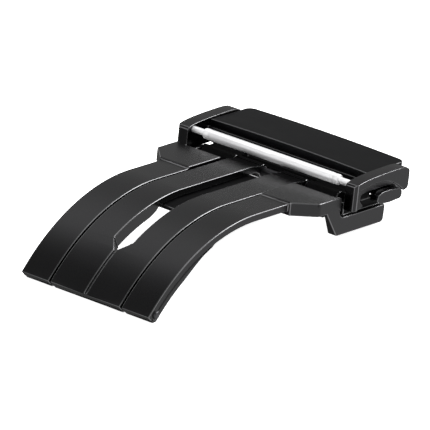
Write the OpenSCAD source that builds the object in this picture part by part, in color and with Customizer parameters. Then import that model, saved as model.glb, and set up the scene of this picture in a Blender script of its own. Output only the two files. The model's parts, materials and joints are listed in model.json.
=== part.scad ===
// Folding clasp for a watch strap: two curved blades hinged at one end, a cover with
// two push buttons over the other end, and two spring bars that carry the strap.
// Units are millimetres. The clasp lies closed on a table, X across the strap,
// Y along it (the cover at +Y), +Z up, origin under the middle of the clasp.

/* [Strap] */
// clear width between the cheeks of the cover, where the strap end goes
strap_gap = 24.2; // [20:0.1:26]
// clear width between the lugs under the cover, where the other strap end goes
rear_gap = 21.2; // [16:0.1:22]

/* [Blades] */
// width over the two outer strips
blade_width = 19.4; // [16:0.1:22]
// width of one outer strip
outer_strip = 4.15; // [3:0.05:5]
// running gap between the outer strips and the inner blade
strip_gap = 0.26; // [0.1:0.02:0.4]
// thickness of both blades
blade_t = 0.95; // [0.8:0.05:1.4]
// radius of the curved part, on the outside
blade_r = 25; // [20:0.5:32]
// width of the long window in the inner blade
window_w = 2.76; // [2:0.02:4]
// step from the cover plate down to the top of the blades
blade_drop = 2.3; // [2:0.05:3]

/* [Cover] */
// thickness of a cheek
cheek_t = 1.7; // [1.2:0.05:2.2]
// length of the cover plate along the strap
plate_l = 7.75; // [6:0.05:10]
// thickness of the cover plate at its middle
plate_t = 1.1; // [0.8:0.05:1.4]
// radius of the crown across the cover plate
crown_r = 360; // [200:10:800]

/* [Base] */
// width over the wings and the side lugs
base_width = 25.0; // [22:0.1:26]
// thickness of the wings
wing_t = 1.7; // [1.2:0.05:2]
// height of the wings above the blades
wing_step = 0.25; // [0.1:0.05:0.5]

/* [Pins and bars] */
// radius of both hinge pins
pin_r = 0.5; // [0.4:0.02:0.6]
// radial clearance of a turning pin
pin_play = 0.03; // [0.01:0.01:0.1]
// thickness of both blades at the folding end
fold_t = 1.8; // [1.6:0.05:2.2]
// radius of the tube of the front spring bar
front_bar_r = 0.67; // [0.6:0.01:0.8]
// radius of the tube of the rear spring bar
rear_bar_r = 0.75; // [0.6:0.01:0.9]
// radius of the spring bar tips
tip_r = 0.4; // [0.3:0.01:0.45]

/* [Buttons] */
// how far a button stands out from the cheek
button_out = 0.6; // [0.4:0.05:1.2]
// travel of a button
button_travel = 0.8; // [0.6:0.05:1]

/* [Node] */
// which piece to draw

/* [Hidden] */
$fn = 96;
eps = 0.01;

// half widths
half_blade = blade_width / 2;
half_in = half_blade - outer_strip;          // inner face of an outer strip
half_inner = half_in - strip_gap;            // side of the inner blade
cheek_in = strap_gap / 2;
cheek_out = cheek_in + cheek_t;
half_base = base_width / 2;
lug_in = rear_gap / 2;
half_win = window_w / 2;

// heights, measured from the top of the cover plate
blade_top = -blade_drop;
blade_bot = blade_top - blade_t;
wing_top = blade_top + wing_step;
wing_bot = wing_top - wing_t;
web_top = blade_bot - 0.12;
web_bot = web_top - 0.5;
lug_bot = -6.98;
seat_z = -4.75;                              // ledge under the cheeks
rail_top = -3.45;                            // rail along the inner edge of the ledge
guard_top = -3.2;                            // guard wall just inside the cheeks
guard_in = 11.4;
guard_front = -11.0;
rail_front = -12.3;
rail_back = -7.6;                            // rail and guard wall end clear of the cover's lip
catch_front = -7.0;
catch_back = -3.7;
guard_out = cheek_in - 0.15;
catch_top = -3.5;                            // step that the latch nose goes under

// lengthways, measured from the back edge of the cover plate
bend_y = -25.3;                              // where the blades start to curve
wing_back = -12.9;
wing_front = -19.3;
lug_back = -3.25;
lug_full = -10.8;                            // in front of this the lug gets thinner
lug_tip = -15.4;
lug_tip_t = 0.35;                            // its thickness at the front
cheek_front = -11.3;
plate_back = 0.7;                            // the plate overhangs the cheeks a little

// centre of the bend
bend_z = blade_top - blade_r;
// folding hinge, inside the end of the bend
fold_a = 47.9;
fold_arm = blade_r - 1.0;
fold_y = bend_y - fold_arm * sin(fold_a);
fold_z = bend_z + fold_arm * cos(fold_a);
end_a = 50.2;                                // end of both blades
function on_bend(r, a) = [bend_y - r * sin(a), bend_z + r * cos(a)];
toe = on_bend(blade_r - fold_t, end_a - 1.1); // lowest corner of the end

// cover hinge
cov_y = -9.6;
cov_z = -3.35;
cov_r = 0.88;
cov_pin = 9.2;                               // half length of its pin

// spring bars
fb_y = -10.1;
fb_z = -0.95;
rb_y = -5.4;
rb_z = -5.75;
front_half = 10.36;
rear_half = 9.5;

// mechanism inside the cover
deck_z = -plate_t;
deck_t = 0.55;
room_top = deck_z - deck_t;
room_bot = -2.95;
wall_f = -7.3;
wall_b = -0.8;
lip_bot = -4.0;                              // lip below the front wall, between the rails
lip_half = 11.15;
skin_t = 0.22;                               // inner skin of a cheek behind the button
thumb_in = cheek_in + skin_t + 0.08 + button_travel; // a pressed button stops clear of the skin
stem_y0 = -6.4;
stem_y1 = -3.4;
stem_z0 = -2.85;
stem_z1 = -2.12;
spring_y = -4.9;
spring_z = (stem_z0 + stem_z1) / 2;
seat_x = 5.2;                                // spring seat
arm_x = 10.3;                                // inner end of a button
screw_x = 2.6;
screw_y = -4.05;

// lying on the table: the folding end and the lugs touch it
tilt = atan((lug_bot - toe[1]) / (lug_back - 0.6 - toe[0]));
function down(y, z) = -y * sin(tilt) + z * cos(tilt);
function along(y, z) = y * cos(tilt) + z * sin(tilt);
table_z = min(down(toe[0], toe[1]), down(lug_back - 0.6, lug_bot));
far = on_bend(blade_r, end_a);
mid_y = (along(far[0], far[1]) + along(plate_back, -0.15)) / 2;

module laid() translate([0, -mid_y, -table_z]) rotate([-tilt, 0, 0]) children();

// outline in the Y-Z plane drawn from x0 to x1
module slab(x0, x1, pts) translate([x0, 0, 0]) rotate([90, 0, 90])
    linear_extrude(x1 - x0) polygon(pts);
// box from corner to corner
module box(a, b) translate(a) cube([b[0] - a[0], b[1] - a[1], b[2] - a[2]]);
// cylinder along X
module rod(x0, x1, y, z, r) translate([x0, y, z]) rotate([0, 90, 0]) cylinder(h = x1 - x0, r = r);
// part of a ring about the bend, angles from straight up towards the folding end
module bend(x0, x1, r0, r1, a0, a1) translate([0, bend_y, bend_z]) rotate([0, -90, 180])
    rotate([0, 0, a0]) rotate_extrude(angle = a1 - a0, $fn = 360)
        translate([r0, x0]) square([r1 - r0, x1 - x0]);
function fillet(c, r, a0, a1, n = 6) =
    [for (i = [0:n]) let(a = a0 + (a1 - a0) * i / n) [c[0] + r * cos(a), c[1] + r * sin(a)]];
module both() { children(); mirror([1, 0, 0]) children(); }
// coil spring along X, a stack of rings
module coil(x0, x1, y, z, r, w, n) for (i = [0:n - 1])
    translate([x0 + w + (x1 - x0 - 2 * w) * i / (n - 1), y, z]) rotate([0, 90, 0])
        rotate_extrude($fn = 36) translate([r, 0]) circle(r = w, $fn = 16);

// ------------------------------------------------------------------ outer blade
// thickening of a blade below its top, from a list of [angle, thickness]
module thicker(x0, x1, a0, table) slab(x0, x1, concat(
    [for (a = [a0:1.5:end_a - 1.2]) on_bend(blade_r - lookup(a, table), a)],
    [toe, on_bend(blade_r - fold_t + 0.42, end_a), on_bend(blade_r - 0.6, end_a)],
    [for (a = [end_a - 0.5:-2:a0]) on_bend(blade_r - 0.6, a)]));
outer_t = [[17, blade_t - 0.05], [21, 1.1], [25.5, 1.36], [29, 1.58], [33, fold_t - 0.02], [60, fold_t]];
inner_t = [[10.5, blade_t - 0.05], [11.2, 1.2], [12.6, 1.5], [15.5, 1.75], [60, fold_t]];

module outer_strip_solid() {
    difference() {
        union() {
            box([half_in, bend_y, blade_bot], [half_blade, wing_back - 0.4, blade_top]);
            bend(half_in, half_blade, blade_r - blade_t, blade_r, 0, end_a);
            thicker(half_in + 0.03, half_blade - 0.02, 17, outer_t);
        }
        rod(half_in - 1, half_blade + 1, fold_y, fold_z, pin_r + 0.01);
    }
}
module wing_solid() intersection() {
    c = [half_base - 0.7, wing_front + 3.0];
    round_r = 0.4;
    slab(0, half_base + 1, concat([[wing_back + 1, wing_bot - 1], [wing_back + 1, wing_top]],
        fillet([wing_front + round_r, wing_top - round_r], round_r, 90, 180),
        [[wing_front, wing_bot - 1]]));
    translate([0, 0, wing_bot]) linear_extrude(wing_t) polygon(concat(
        [[half_in, wing_front], [half_blade + 0.3, wing_front + 0.1]],
        fillet(c, 0.7, -50, 0),
        [[half_base, wing_back + 0.6], [half_base - 0.5, wing_back], [half_in, wing_back]]));
}
module lug_solid() intersection() {
    r = 0.55;
    // seen from above, the lug gets thinner towards the front
    translate([0, 0, -8]) linear_extrude(8) polygon([[lug_in, 0], [lug_in, lug_full],
        [half_base - lug_tip_t, lug_tip], [half_base + 1, lug_tip], [half_base + 1, 0]]);
    slab(lug_in, half_base, concat(
        [[-15.1, wing_bot + 0.6], [-14.8, -4.0]],
        fillet([-12.35, lug_bot + r], r, 214, 270),
        fillet([lug_back - 0.6, lug_bot + r], r, 270, 352),
        [[lug_back, seat_z], [-11.0, seat_z]],
        fillet([-11.4, seat_z + 1.0], 1.0, -90, -180),
        [[-12.4, wing_top - 0.15], [wing_back - 0.4, wing_top - 0.15]]));
}
module catch_wall() {
    // rail along the inner edge of the seat, guard wall beside the cheek
    box([lug_in + 0.1, rail_front, seat_z - 0.2], [lug_in + 0.6, rail_back, rail_top]);
    box([guard_in, guard_front, seat_z - 0.2], [guard_out, rail_back, guard_top]);
    // catch with the step that holds the latch nose
    box([guard_in, rail_back - 0.1, seat_z - 0.2], [guard_out, catch_back, catch_top]);
    box([guard_in - 0.15, catch_front, catch_top - 0.35], [guard_in + 0.1, catch_back, catch_top]);
}
module outer_blade() color("#2a2b2d") laid() {
    difference() {
        union() {
            both() outer_strip_solid();
            both() wing_solid();
            both() lug_solid();
            both() catch_wall();
            // cross bar and floor under the inner blade
            slab(-half_base + 1, half_base - 1, [[-15.3, web_bot], [-14.4, -4.55],
                [wing_back - 0.2, -4.55], [wing_back - 0.2, web_top], [-15.3, web_top]]);
            box([-half_in - 1.2, bend_y, web_bot], [half_in + 1.2, wing_back + 0.9, web_top]);
            both() box([half_in, bend_y, web_bot], [half_in + 1.2, wing_back - 0.4, blade_bot + 0.3]);
            bend(-half_in - 1.2, half_in + 1.2, blade_r - blade_t - 0.62,
                blade_r - blade_t - 0.12, 0, 9);
            both() bend(half_in, half_in + 1.2, blade_r - blade_t - 0.62,
                blade_r - blade_t + 0.3, 0, 9);
        }
        both() rod(lug_in - 1, half_base - 0.7, rb_y, rb_z, tip_r + 0.03);
        // way for the inner blade
        box([-half_in, bend_y, web_top], [half_in, wing_back + 1, 0]);
    }
}
module fold_hinge_pin() color("#4a4b4e") laid()
    rod(-half_blade - 0.3, half_blade + 0.3, fold_y, fold_z, pin_r);

// ------------------------------------------------------------------ inner blade
module inner_blade() color("#2c2d2f") laid() {
    difference() {
        union() {
            box([-half_inner, bend_y, blade_bot], [half_inner, -12.2, blade_top]);
            bend(-half_inner, half_inner, blade_r - blade_t, blade_r, 0, end_a);
            thicker(-half_inner + 0.03, half_inner - 0.03, 10.5, inner_t);
            slab(-half_inner, half_inner, [[-12.3, blade_bot], [-12.3, blade_top],
                [-12.1, blade_top], [-10.1, -2.56], [cov_y, cov_z], [-10.2, -3.7],
                [-11.2, blade_bot]]);
            rod(-half_inner + 0.05, half_inner - 0.05, cov_y, cov_z, cov_r);
        }
        rod(-half_inner - 1, half_inner + 1, fold_y, fold_z, pin_r + pin_play);
        rod(-half_inner - 1, half_inner + 1, cov_y, cov_z, pin_r + 0.01);
        // long window with a pointed end, then the engraved line
        box([-half_win, bend_y - 1, -6], [half_win, cov_y + 2, 1]);
        bend(-half_win, half_win, blade_r - 2.6, blade_r + 1, -1, 30.7);
        translate([0, bend_y, bend_z]) rotate([30.6, 0, 0]) translate([0, 0, blade_r - 2.8])
            linear_extrude(5) polygon([[half_win, 0.3], [-half_win, 0.3],
                [-half_win, 0], [0, -1.9], [half_win, 0]]);
        bend(-0.15, 0.15, blade_r - 0.35, blade_r + 1, 34, end_a - 0.45);
    }
}
module cover_hinge_pin() color("#4a4b4e") laid() rod(-cov_pin, cov_pin, cov_y, cov_z, pin_r);

// ------------------------------------------------------------------ cover
function cheek_outline() = [
    [cheek_front, -3.93], [cheek_front, -0.78], [-11.1, -0.52], [fb_y, -0.31], [-9, -0.18],
    [-8, -0.1], [-6.5, -0.02], [-5, 0.03], [-3.5, 0.06], [-2.4, 0.05], [-1.6, -0.03],
    [-1.05, -0.22], [-0.7, -0.55], [-0.4, -1.0], [-0.22, -1.5], [-0.2, -1.95], [-0.42, -2.4],
    [-0.85, -2.8], [-1.5, -3.0], [-4.8, -3.3], [-8, -3.35], [-10, -3.5]];
module cheek_solid() {
    difference() {
        intersection() {
            slab(cheek_in, cheek_out, cheek_outline());
            // seen from above, the outer corners are broken in front and rounded at the back
            translate([0, 0, -6]) linear_extrude(8) polygon(concat(
                [[cheek_in - 0.5, -12], [cheek_out - 0.38, -12], [cheek_out - 0.38, cheek_front],
                    [cheek_out + 0.01, cheek_front + 0.38], [cheek_out + 0.01, -1.2]],
                fillet([cheek_out - 0.9, -1.05], 0.9, 0, 90, 8), [[cheek_in - 0.5, -0.15]]));
        }
        // hollow round the push button, open below
        slab(cheek_out - 0.4, cheek_out + 1, [
            [-10.7, -1.75], [-10.45, -1.3], [-9.1, -1.04], [-7.6, -0.92], [-6.2, -0.9],
            [-5, -1.12], [-3.9, -1.47], [-2.9, -2.0], [-2.0, -2.6], [-1.2, -3.3], [-1.2, -5],
            [-8.9, -5], [-9.1, -3.9], [-10.1, -2.9], [-10.6, -2.3]]);
        // notch the button moves in, the slot for its stem, both open below, and the bar tip's hole
        slab(cheek_in - 1, cheek_in + 0.3, [[stem_y0 - 0.15, -5], [stem_y0 - 0.15, stem_z1 + 0.1],
            [stem_y1 + 0.15, stem_z1 + 0.1], [stem_y1 + 0.15, -5]]);
        slab(cheek_in + skin_t, cheek_out + 1, [[-9.75, -5], [-9.75, -2.15], [-9.3, -1.98], [-7.9, -1.9],
            [-5.2, -1.85], [-3.1, -2.0], [-2.5, -2.5], [-2.45, -5]]);
        rod(cheek_in - 1, cheek_in + 1.0, fb_y, fb_z, tip_r + 0.03);
    }
}
module cover_frame() color("#303134") laid() {
    difference() {
        union() {
            both() cheek_solid();
            box([-cheek_in - eps, wall_f, room_top], [cheek_in + eps, wall_b + 0.2, deck_z]);
            box([-cheek_in - eps, wall_f, room_bot], [cheek_in + eps, wall_f + 0.5, deck_z]);
            box([-lip_half, wall_f + 0.03, lip_bot], [lip_half, wall_f + 0.46, room_bot + 0.3]);
            box([-cheek_in - eps, wall_b - 0.5, room_bot], [cheek_in + eps, wall_b, deck_z]);
            both() box([seat_x - 0.6, wall_f + 0.2, room_bot + 0.1], [seat_x, wall_b - 0.2, deck_z]);
            both() translate([screw_x, screw_y, room_bot])
                cylinder(h = deck_z - room_bot - eps, r = 0.9);
            // knuckles of the cover hinge, tied to the front wall
            both() rod(half_in, lug_in - 0.2, cov_y, cov_z, cov_r);
            both() slab(half_in + 0.1, lug_in - 0.3, [[cov_y, cov_z - 0.3],
                [cov_y, cov_z + 0.45], [wall_f + 0.3, -2.55], [wall_f + 0.3, -3.05]]);
        }
        both() rod(half_in - 1, cov_pin + 0.2, cov_y, cov_z, pin_r + pin_play);
        both() translate([screw_x, screw_y, room_bot - 1]) cylinder(h = 2.2, r = 0.36);
    }
}
module top_plate() color("#242527") laid() {
    w = cheek_in - 0.12;
    c = 0.95;
    translate([0, plate_back, 0]) intersection() {
        translate([0, 1, 0]) rotate([90, 0, 0]) linear_extrude(plate_l + 2) polygon(concat(
            [[w + 1, -plate_t], [-w - 1, -plate_t]],
            [for (i = [-12:12]) let(x = (w + 1) * i / 12) [x, sqrt(crown_r ^ 2 - x ^ 2) - crown_r]]));
        translate([0, 0, -plate_t]) linear_extrude(3) polygon(concat(
            [[-w, -plate_l], [w, -plate_l]],
            fillet([w - c, -c], c, 0, 90, 10), fillet([c - w, -c], c, 90, 180, 10)));
    }
}
module mechanism_cover() color("#3a3b3e") laid() {
    difference() {
        box([-9.3, wall_f + 0.55, room_bot - 0.35], [9.3, wall_b - 0.55, room_bot]);
        both() translate([screw_x, screw_y, room_bot - 1]) cylinder(h = 2, r = 0.42);
        both() translate([screw_x, screw_y, room_bot - 0.36])
            cylinder(h = 0.17, r = 0.75);
    }
}
module screw_solid() {
    difference() {
        union() {
            cylinder(h = 0.16, r = 0.7);
            cylinder(h = 1.3, r = 0.34);
        }
        translate([-0.8, -0.08, -eps]) cube([1.6, 0.16, 0.09]);
    }
}
module cover_screws() color("#8c8d90") laid()
    both() translate([screw_x, screw_y, room_bot - 0.35]) screw_solid();

// ------------------------------------------------------------------ spring bars
module bar_tube(y, z, half, r, bore) {
    difference() {
        rod(-half, half, y, z, r);
        rod(-half + 0.25, half - 0.25, y, z, bore);
        rod(-half - 1, half + 1, y, z, tip_r + 0.03);
    }
}
module bar_tip(y, z, half, end, bore) {
    rod(half - 1.0, end, y, z, tip_r);
    rod(half - 1.0, half - 0.3, y, z, bore - 0.02);
}
module front_bar_tube() color("#d9dadd") laid()
    bar_tube(fb_y, fb_z, front_half, front_bar_r, 0.5);
module front_bar_spring() color("#b9babd") laid()
    coil(-front_half + 1.05, front_half - 1.05, fb_y, fb_z, 0.38, 0.07, 21);
module front_bar_tip_right() color("#cfd0d3") laid()
    bar_tip(fb_y, fb_z, front_half, cheek_in + 0.8, 0.5);
module front_bar_tip_left() color("#cfd0d3") laid()
    mirror([1, 0, 0]) bar_tip(fb_y, fb_z, front_half, cheek_in + 0.8, 0.5);
module rear_bar_tube() color("#d9dadd") laid()
    bar_tube(rb_y, rb_z, rear_half, rear_bar_r, 0.54);
module rear_bar_spring() color("#b9babd") laid()
    coil(-rear_half + 1.05, rear_half - 1.05, rb_y, rb_z, 0.4, 0.07, 19);
module rear_bar_tip_right() color("#cfd0d3") laid()
    bar_tip(rb_y, rb_z, rear_half, lug_in + 0.8, 0.54);
module rear_bar_tip_left() color("#cfd0d3") laid()
    mirror([1, 0, 0]) bar_tip(rb_y, rb_z, rear_half, lug_in + 0.8, 0.54);

// ------------------------------------------------------------------ buttons
module button_solid() {
    // thumb piece outside the cheek
    slab(thumb_in, cheek_out + button_out, [
        [-7.6, -3.0], [-7.4, -2.35], [-6.6, -2.03], [-5.2, -1.98], [-3.2, -2.2], [-2.75, -2.6],
        [-2.7, -3.15], [-3.0, -3.5], [-5.2, -3.62], [-6.8, -3.48], [-7.4, -3.25]]);
    // stem through the cheek, and the leg with the latch nose
    box([arm_x, stem_y0, stem_z0], [cheek_out - 0.5, stem_y1, stem_z1]);
    box([arm_x, -6.2, -4.45], [arm_x + 0.65, -4.5, stem_z0 + 0.2]);
    box([arm_x + 0.3, -6.2, -4.45], [11.2, -4.5, -3.98]);
}
module push_button_right() color("#333437") laid() button_solid();
module push_button_left() color("#333437") laid() mirror([1, 0, 0]) button_solid();
module button_spring_right() color("#b9babd") laid()
    coil(seat_x, arm_x, spring_y, spring_z, 0.36, 0.07, 9);
module button_spring_left() color("#b9babd") laid()
    mirror([1, 0, 0]) coil(seat_x, arm_x, spring_y, spring_z, 0.36, 0.07, 9);

outer_blade();
fold_hinge_pin();
rear_bar_tube();
rear_bar_spring();
rear_bar_tip_left();
rear_bar_tip_right();
inner_blade();
cover_hinge_pin();
cover_frame();
top_plate();
mechanism_cover();
cover_screws();
front_bar_tube();
front_bar_spring();
front_bar_tip_left();
front_bar_tip_right();
push_button_left();
push_button_right();
button_spring_left();
button_spring_right();
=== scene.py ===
import bpy
import bmesh
import json
import math
from mathutils import Matrix, Vector


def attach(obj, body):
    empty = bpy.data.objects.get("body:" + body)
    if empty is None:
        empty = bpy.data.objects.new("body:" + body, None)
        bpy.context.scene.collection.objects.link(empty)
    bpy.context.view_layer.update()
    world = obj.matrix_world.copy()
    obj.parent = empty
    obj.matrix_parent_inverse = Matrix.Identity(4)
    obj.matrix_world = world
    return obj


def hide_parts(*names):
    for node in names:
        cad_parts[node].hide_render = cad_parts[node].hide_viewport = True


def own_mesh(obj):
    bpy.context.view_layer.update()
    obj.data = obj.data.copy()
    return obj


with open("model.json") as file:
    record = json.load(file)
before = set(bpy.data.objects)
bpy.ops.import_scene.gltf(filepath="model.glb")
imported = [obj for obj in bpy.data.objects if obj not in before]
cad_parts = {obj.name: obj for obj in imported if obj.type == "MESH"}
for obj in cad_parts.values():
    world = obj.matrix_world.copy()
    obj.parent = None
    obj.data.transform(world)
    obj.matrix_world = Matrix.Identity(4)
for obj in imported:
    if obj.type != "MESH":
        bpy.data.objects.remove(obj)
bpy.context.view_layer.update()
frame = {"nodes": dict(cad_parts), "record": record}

# ---------------------------------------------------------------- places, in the frame of the cover plate
# X across the strap, Y towards the back of the cover, Z up from the middle of the plate, in mm
MM = 0.001
FRONT_BAR, REAR_BAR = (-10.1, -0.95), (-5.4, -5.75)
BEND_Y, BEND_Z = -25.3, -27.3
FOLD_ARM, FOLD_ANGLE = 24.0, math.radians(47.9)
FOLD_HINGE = (BEND_Y - FOLD_ARM * math.sin(FOLD_ANGLE), BEND_Z + FOLD_ARM * math.cos(FOLD_ANGLE))
COVER_HINGE = (-9.6, -3.35)
BUTTON_SPRING = (-4.9, -2.485)
SPRING_SEAT, BUTTON_END = 5.2, 10.3
SIDES = (("left", -1), ("right", 1))


def lie_of_the_plate():
    """How the plate's frame lies in the row frame: its lean, and its shift along and up in mm.
    Both hinges are known in both frames, so they settle it."""
    at = {j["name"]: j["pos_m"] for j in frame["record"]["behaviour"]["joints"] if "pos_m" in j}
    fold, cover = ([v / MM for v in at[name][1:]] for name in ("fold_hinge", "cover_hinge"))
    here = math.atan2(COVER_HINGE[1] - FOLD_HINGE[1], COVER_HINGE[0] - FOLD_HINGE[0])
    tilt = here - math.atan2(cover[1] - fold[1], cover[0] - fold[0])
    c, s = math.cos(tilt), math.sin(tilt)
    y, z = COVER_HINGE
    return tilt, y * c + z * s - cover[0], z * c - y * s - cover[1]


TILT, SHIFT_Y, SHIFT_Z = lie_of_the_plate()


def row(x, y, z):
    """Point of the plate's own frame (mm) in the row frame (metres)."""
    c, s = math.cos(TILT), math.sin(TILT)
    return Vector((x, y * c + z * s - SHIFT_Y, z * c - y * s - SHIFT_Z)) * MM


def plate_frame(p):
    """Point of the row frame (metres) in the plate's own frame (mm)."""
    c, s = math.cos(TILT), math.sin(TILT)
    y, z = p.y / MM + SHIFT_Y, p.z / MM + SHIFT_Z
    return Vector((p.x / MM, y * c - z * s, y * s + z * c))


# ---------------------------------------------------------------- camera
AZ, EL, LEAN = math.radians(38), math.radians(26.3), math.radians(10) - TILT
VIEW_WIDTH, DIST = 52.1845, 1000.0           # mm across the image at the plate, and to the lens
AIM_LEFT, AIM_DOWN = 13.2221, 9.9345         # mm from the plate's origin to the middle of the image


def add_camera():
    """A long lens that looks past the plate's origin, so that the whole clasp is in the image."""
    turn = Matrix.Rotation(LEAN, 3, "X")
    back = turn @ Vector((math.sin(AZ) * math.cos(EL), -math.cos(AZ) * math.cos(EL), math.sin(EL)))
    right = turn @ Vector((math.cos(AZ), math.sin(AZ), 0))
    up = back.cross(right)
    forward = (-back * DIST - right * AIM_LEFT - up * AIM_DOWN).normalized()
    cam_x = forward.cross(up).normalized()
    cam_y = cam_x.cross(forward)
    data = bpy.data.cameras.new("camera")
    data.sensor_width = 36
    data.lens = data.sensor_width * DIST / VIEW_WIDTH
    data.clip_start, data.clip_end = 0.05, 20
    camera = bpy.data.objects.new("camera", data)
    place = Matrix((cam_x, cam_y, -forward)).transposed().to_4x4()
    place.translation = row(0, 0, 0) + back * DIST * MM
    camera.matrix_world = place
    bpy.context.scene.collection.objects.link(camera)
    return camera


bpy.context.scene.camera = add_camera()
bpy.context.scene.view_settings.view_transform = "Standard"


# ---------------------------------------------------------------- materials
def material(name, base, rough, metallic=1.0, bump=0.0, stretch=(1, 1, 1), tint=1.0, shine=0.5, grain=0.15):
    """Worked metal: a fine grain in the colour and the bump, and wider patches in the roughness."""
    m = bpy.data.materials.new(name)
    m.use_nodes = True
    n, l = m.node_tree.nodes, m.node_tree.links
    n.clear()
    out = n.new("ShaderNodeOutputMaterial")
    p = n.new("ShaderNodeBsdfPrincipled")
    l.new(p.outputs[0], out.inputs[0])
    p.inputs["Metallic"].default_value = metallic
    p.inputs["Specular Tint"].default_value = (tint, tint, tint, 1)
    p.inputs["Specular IOR Level"].default_value = shine
    place = n.new("ShaderNodeTexCoord")
    along = n.new("ShaderNodeMapping")
    along.inputs["Scale"].default_value = stretch
    l.new(place.outputs["Object"], along.inputs[0])
    fine = noise(n, 2500, 4)
    l.new(along.outputs[0], fine.inputs["Vector"])
    wide = noise(n, 260, 3)
    l.new(place.outputs["Object"], wide.inputs["Vector"])
    patches = n.new("ShaderNodeMapRange")
    patches.inputs["To Min"].default_value = 0.85
    patches.inputs["To Max"].default_value = 1.15
    l.new(wide.outputs[0], patches.inputs[0])
    roughness = n.new("ShaderNodeMath")
    roughness.operation = "MULTIPLY"
    roughness.inputs[1].default_value = rough
    l.new(patches.outputs[0], roughness.inputs[0])
    l.new(roughness.outputs[0], p.inputs["Roughness"])
    colour = n.new("ShaderNodeMix")
    colour.data_type = "RGBA"
    colour.inputs["A"].default_value = (*[c * (1 - grain) for c in base], 1)
    colour.inputs["B"].default_value = (*[c * (1 + grain) for c in base], 1)
    l.new(fine.outputs[0], colour.inputs["Factor"])
    l.new(colour.outputs["Result"], p.inputs["Base Color"])
    b = n.new("ShaderNodeBump")
    b.inputs["Strength"].default_value = bump
    b.inputs["Distance"].default_value = 0.00001
    l.new(fine.outputs[0], b.inputs["Height"])
    l.new(b.outputs[0], p.inputs["Normal"])
    return m


def noise(nodes, scale, detail):
    t = nodes.new("ShaderNodeTexNoise")
    t.inputs["Scale"].default_value = scale
    t.inputs["Detail"].default_value = detail
    return t


BRUSHED = (0.06, 1, 1)           # fine lines along X
BLACK = material("black_coat", (0.051, 0.051, 0.0525), 0.24, bump=0.04, grain=0.05)
SATIN = material("black_satin", (0.024, 0.0245, 0.026), 0.36, bump=0.2, stretch=BRUSHED, tint=0.72)
PIN = material("pin_black", (0.09, 0.09, 0.095), 0.3, bump=0.1)
STEEL = material("bright_steel", (0.95, 0.95, 0.96), 0.24, metallic=0.5, bump=0.05, stretch=(0.1, 1, 1))
WIRE = material("spring_steel", (0.5, 0.5, 0.51), 0.25, bump=0.1)
# painted highlight: the bevel faces take a lighter grey than the black coat, for the bright lines along the
# broken edges
EDGE_HIGHLIGHT = material("painted_edge_highlight", (0.22, 0.22, 0.225), 0.22, bump=0.03)
# painted shade: a near-black matte colour for faces in hollows and under the cover, where shade falls
PAINTED_SHADE = material("painted_recess_shade", (0.003, 0.003, 0.0032), 0.5, metallic=0.0, bump=0.2, shine=0.05)


# ---------------------------------------------------------------- floor, lamps and room
def add_floor(half=3.0):
    mesh = bpy.data.meshes.new("floor")
    corners = [(x * half, y * half, 0) for x, y in ((-1, -1), (1, -1), (1, 1), (-1, 1))]
    mesh.from_pydata(corners, [], [(0, 1, 2, 3)])
    floor = bpy.data.objects.new("floor", mesh)
    floor.location.z = -0.00002
    floor.visible_glossy = False
    bpy.context.scene.collection.objects.link(floor)
    m = bpy.data.materials.new("floor")
    m.use_nodes = True
    p = m.node_tree.nodes["Principled BSDF"]
    p.inputs["Base Color"].default_value = (0.9, 0.9, 0.9, 1)
    p.inputs["Roughness"].default_value = 0.9
    p.inputs["Emission Color"].default_value = (1, 1, 1, 1)
    p.inputs["Emission Strength"].default_value = 0.95
    mesh.materials.append(m)


def lamp(name, at, size, power):
    """Square area lamp that points at the origin."""
    d = bpy.data.lights.new(name, "AREA")
    d.shape = "SQUARE"
    d.size = size
    d.energy = power
    o = bpy.data.objects.new(name, d)
    o.location = at
    o.rotation_euler = (-Vector(at)).to_track_quat("-Z", "Y").to_euler()
    bpy.context.scene.collection.objects.link(o)
    return o


# brightness of the room: above the horizon against how far a direction points along +Y,
# below it against how far it points along +X
ABOVE = [(-1.0, 0.80), (-0.6, 0.50), (-0.4, 0.19), (-0.16, 0.17), (0.0, 0.42), (0.13, 0.98), (0.35, 0.88),
         (0.6, 0.45), (0.82, 0.30), (1.0, 0.22)]
BELOW = [(-1.0, 0.12), (0.1, 0.18), (0.4, 0.78), (1.0, 0.8)]


def add_room():
    world = bpy.data.worlds.new("world")
    bpy.context.scene.world = world
    world.use_nodes = True
    n, l = world.node_tree.nodes, world.node_tree.links
    place = n.new("ShaderNodeTexCoord")
    parts = n.new("ShaderNodeSeparateXYZ")
    l.new(place.outputs["Generated"], parts.inputs[0])

    def ramp(table, axis):
        share = n.new("ShaderNodeMapRange")
        share.inputs["From Min"].default_value = -1
        l.new(parts.outputs[axis], share.inputs[0])
        r = n.new("ShaderNodeValToRGB")
        stops = r.color_ramp.elements
        stops.remove(stops[1])
        for i, (at, v) in enumerate(table):
            stop = stops[0] if i == 0 else stops.new((at + 1) / 2)
            stop.position = (at + 1) / 2
            stop.color = (v, v, v, 1)
        l.new(share.outputs[0], r.inputs[0])
        return r.outputs[0]

    horizon = n.new("ShaderNodeMapRange")
    horizon.inputs["From Min"].default_value = -0.08
    horizon.inputs["From Max"].default_value = 0.04
    l.new(parts.outputs["Z"], horizon.inputs[0])
    both = n.new("ShaderNodeMix")
    both.data_type = "RGBA"
    l.new(horizon.outputs[0], both.inputs["Factor"])
    l.new(ramp(BELOW, "X"), both.inputs["A"])
    l.new(ramp(ABOVE, "Y"), both.inputs["B"])
    l.new(both.outputs["Result"], n["Background"].inputs[0])
    n["Background"].inputs[1].default_value = 1.0


add_floor()
add_room()
lamp("edge", (0.35, 0.56, 0.44), 0.4, 3.6)
lamp("fill", (0, -0.1, 0.9), 1.2, 14.0).visible_glossy = False


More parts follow.
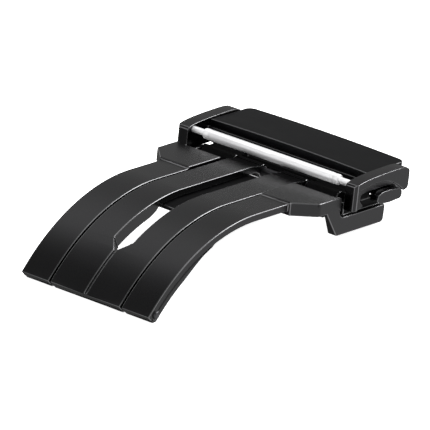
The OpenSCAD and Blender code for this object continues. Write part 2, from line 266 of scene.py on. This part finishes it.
# ---------------------------------------------------------------- making pieces
def finish(name, bm, body, mats, node):
    """Turns the mesh into a piece that rides on the body in place of the CAD node."""
    mesh = bpy.data.meshes.new(name)
    bm.to_mesh(mesh)
    bm.free()
    o = bpy.data.objects.new(name, mesh)
    bpy.context.scene.collection.objects.link(o)
    for m in mats:
        mesh.materials.append(m)
    for p in mesh.polygons:
        p.use_smooth = True
    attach(o, body)
    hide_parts(node)
    return o


def refined(node, body, mats, width, shade_mask=None):
    """The piece's own faces, joined up and with every edge broken as a polished part has it.
    mats are for the faces, for the broken edges, which carry a painted highlight, and for the faces that the
    mask picks out, which carry painted shade."""
    bm = bmesh.new()
    bm.from_mesh(frame["nodes"][node].data)
    bmesh.ops.remove_doubles(bm, verts=bm.verts, dist=2e-7)
    bmesh.ops.dissolve_degenerate(bm, edges=bm.edges, dist=2e-7)
    bmesh.ops.dissolve_limit(bm, angle_limit=math.radians(0.06), verts=bm.verts, edges=bm.edges)
    # faces in hollows and under the cover take the third material, near-black painted shade
    for f in bm.faces:
        f.material_index = 2 if shade_mask and shade_mask(plate_frame(f.calc_center_median())) else 0
    o = finish(node + "_shape", bm, body, mats, node)
    b = o.modifiers.new("edges", "BEVEL")
    b.width = width * MM
    b.segments = 2
    b.limit_method = "ANGLE"
    b.angle_limit = math.radians(28)
    b.use_clamp_overlap = False
    b.miter_outer = "MITER_ARC"
    # the bevel faces take the second material, the painted edge highlight
    b.material = 1
    n = o.modifiers.new("normals", "WEIGHTED_NORMAL")
    n.weight = 100
    n.keep_sharp = True
    return o


def circle(bm, x, centre, r, steps):
    """Ring of points about an axis along X; centre is its (y, z) in the plate's frame."""
    turns = [2 * math.pi * i / steps for i in range(steps)]
    return [bm.verts.new(row(x, centre[0] + r * math.cos(a), centre[1] + r * math.sin(a))) for a in turns]


def lathe(name, body, mat, node, centre, profile, steps):
    """Turned piece along X: profile is a list of (x, radius) in mm."""
    bm = bmesh.new()
    rings = [circle(bm, x, centre, r, steps if r > 0 else 1) for x, r in profile]
    for a, b in zip(rings, rings[1:]):
        for i in range(steps):
            j = (i + 1) % steps
            if len(a) > 1 and len(b) > 1:
                bm.faces.new((a[i], a[j], b[j], b[i]))
            elif len(b) > 1:
                bm.faces.new((a[0], b[j], b[i]))
            elif len(a) > 1:
                bm.faces.new((a[i], a[j], b[0]))
    bmesh.ops.recalc_face_normals(bm, faces=bm.faces)
    o = finish(name, bm, body, [mat], node)
    o.data.set_sharp_from_angle(angle=math.radians(40))
    return o


def coil(name, body, node, centre, x0, x1, radius, turns, wire=0.06, closed=1.5, steps=26, sides=10):
    """Compression spring along X with closed ends. wire is the radius of its wire."""
    pitch = 2.1 * wire                        # of the closed turns
    free = (x1 - x0) - 2 * wire - 2 * closed * pitch
    bm = bmesh.new()
    rings = []
    for i in range(int(turns * steps) + 1):
        t = i / steps
        middle = min(max(t - closed, 0), turns - 2 * closed)
        x = x0 + wire + (t - middle) * pitch + middle / (turns - 2 * closed) * free
        a = 2 * math.pi * t
        ring = []
        for k in range(sides):
            b = 2 * math.pi * k / sides
            r = radius + wire * math.cos(b)
            at = row(x + wire * math.sin(b), centre[0] + r * math.cos(a), centre[1] + r * math.sin(a))
            ring.append(bm.verts.new(at))
        rings.append(ring)
    for a, b in zip(rings, rings[1:]):
        for k in range(sides):
            j = (k + 1) % sides
            bm.faces.new((a[k], a[j], b[j], b[k]))
    bm.faces.new(rings[0][::-1])
    bm.faces.new(rings[-1])
    bmesh.ops.recalc_face_normals(bm, faces=bm.faces)
    return finish(name, bm, body, [WIRE], node)


# ---------------------------------------------------------------- blades, cover and buttons
# faces that get a near-black matte colour as painted shade: the channel, the seats, the knuckles, the groove
# and the underside of the cover
CHANNEL_HALF, CHANNEL_TOP, CHANNEL_FRONT = 5.6, -3.3, -30
SEAT_HALF, SEAT_FRONT, SEAT_Z = 12.1, -12, -4.8
KNUCKLE_FRONT = -12.3
GROOVE_HALF, GROOVE_BACK = 0.16, -35
COVER_HALF, COVER_UNDER = 12.05, -1.0
SKIN_X, SKIN_NEAR = 12.32, 0.03


def base_shade_faces(p):
    channel = abs(p.x) < CHANNEL_HALF and p.z < CHANNEL_TOP and p.y > CHANNEL_FRONT
    return channel or (abs(p.x) < SEAT_HALF and p.y > SEAT_FRONT and p.z > SEAT_Z)


def inner_shade_faces(p):
    return p.y > KNUCKLE_FRONT or (abs(p.x) < GROOVE_HALF and p.y < GROOVE_BACK)


def cover_shade_faces(p):
    return (abs(p.x) < COVER_HALF and p.z < COVER_UNDER) or abs(abs(p.x) - SKIN_X) < SKIN_NEAR


# black coat, painted edge highlight and painted shade
COAT_HIGHLIGHT_SHADE = [BLACK, EDGE_HIGHLIGHT, PAINTED_SHADE]
refined("outer_blade", "outer", COAT_HIGHLIGHT_SHADE, 0.12, base_shade_faces)
refined("inner_blade", "inner", COAT_HIGHLIGHT_SHADE, 0.13, inner_shade_faces)
refined("cover_frame", "cover", COAT_HIGHLIGHT_SHADE, 0.07, cover_shade_faces)
refined("top_plate", "cover", [SATIN, EDGE_HIGHLIGHT], 0.07)
refined("mechanism_cover", "cover", [SATIN, EDGE_HIGHLIGHT], 0.04)
refined("cover_screws", "cover", [WIRE, WIRE], 0.02)
for side, sgn in SIDES:
    refined("push_button_" + side, "button_" + side[0], [BLACK, EDGE_HIGHLIGHT], 0.06)


# ---------------------------------------------------------------- spring bars
def bar(which, body, centre, half, r, bore, end, wire_r, turns):
    """Tube with stepped, rolled-in ends, a sprung tip in each end, and the spring between them."""
    tip_r = 0.4
    hole = tip_r + 0.03
    wall = r - 0.005
    out = [(0.0, r), (half - 0.95, r), (half - 0.9, r - 0.025), (half - 0.8, r - 0.03),
           (half - 0.75, wall), (half - 0.2, wall), (half - 0.07, r - 0.05), (half - 0.01, r - 0.14),
           (half, r - 0.18), (half, hole), (half - 0.25, hole), (half - 0.25, bore), (0.0, bore)]
    ring = out + [(-x, q) for x, q in out[::-1]]
    lathe(which + "_bar_tube_shape", body, STEEL, which + "_bar_tube", centre,
          ring + [ring[0]], 48)
    collar = bore - 0.02
    tip = [(half - 1.0, 0), (half - 1.0, collar - 0.03), (half - 0.97, collar), (half - 0.33, collar),
           (half - 0.3, collar - 0.03), (half - 0.3, tip_r), (end - 0.12, tip_r), (end - 0.04, tip_r - 0.05),
           (end, tip_r - 0.14), (end, 0)]
    # the spring comes in two halves from the middle, so that each half gives way to its own tip
    free = half - 1.0
    for side, sgn in SIDES:
        lathe(f"{which}_bar_tip_{side}_shape", f"{which}_tip_{side[0]}", STEEL,
              f"{which}_bar_tip_{side}", centre, [(sgn * x, q) for x, q in tip], 32)
        x0, x1 = sorted((0, sgn * free))
        spring = coil(f"{which}_bar_spring_{side}_shape", body, which + "_bar_spring", centre,
                      x0, x1, wire_r, turns)
        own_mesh(spring)


bar("front", "cover", FRONT_BAR, 10.36, 0.67, 0.5, 12.9, 0.38, 15)
bar("rear", "outer", REAR_BAR, 9.5, 0.75, 0.54, 11.4, 0.4, 13.5)

# ---------------------------------------------------------------- button springs and hinge pins
for side, sgn in SIDES:
    x0, x1 = sorted((sgn * SPRING_SEAT, sgn * BUTTON_END))
    spring = coil(f"button_spring_{side}_shape", "cover", "button_spring_" + side, BUTTON_SPRING,
                  x0, x1, 0.36, 11)
    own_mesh(spring)


def pin(node, body, centre, half, dome):
    """Hinge pin with domed ends."""
    r = 0.5
    end = [(half - dome, r), (half - 0.55 * dome, r * 0.93), (half - 0.2 * dome, r * 0.72),
           (half - 0.04 * dome, r * 0.4), (half, 0)]
    lathe(node + "_shape", body, PIN, node, centre, [(-x, q) for x, q in end[::-1]] + end, 36)


pin("fold_hinge_pin", "outer", FOLD_HINGE, 10.0, 0.22)
pin("cover_hinge_pin", "inner", COVER_HINGE, 9.2, 0.06)
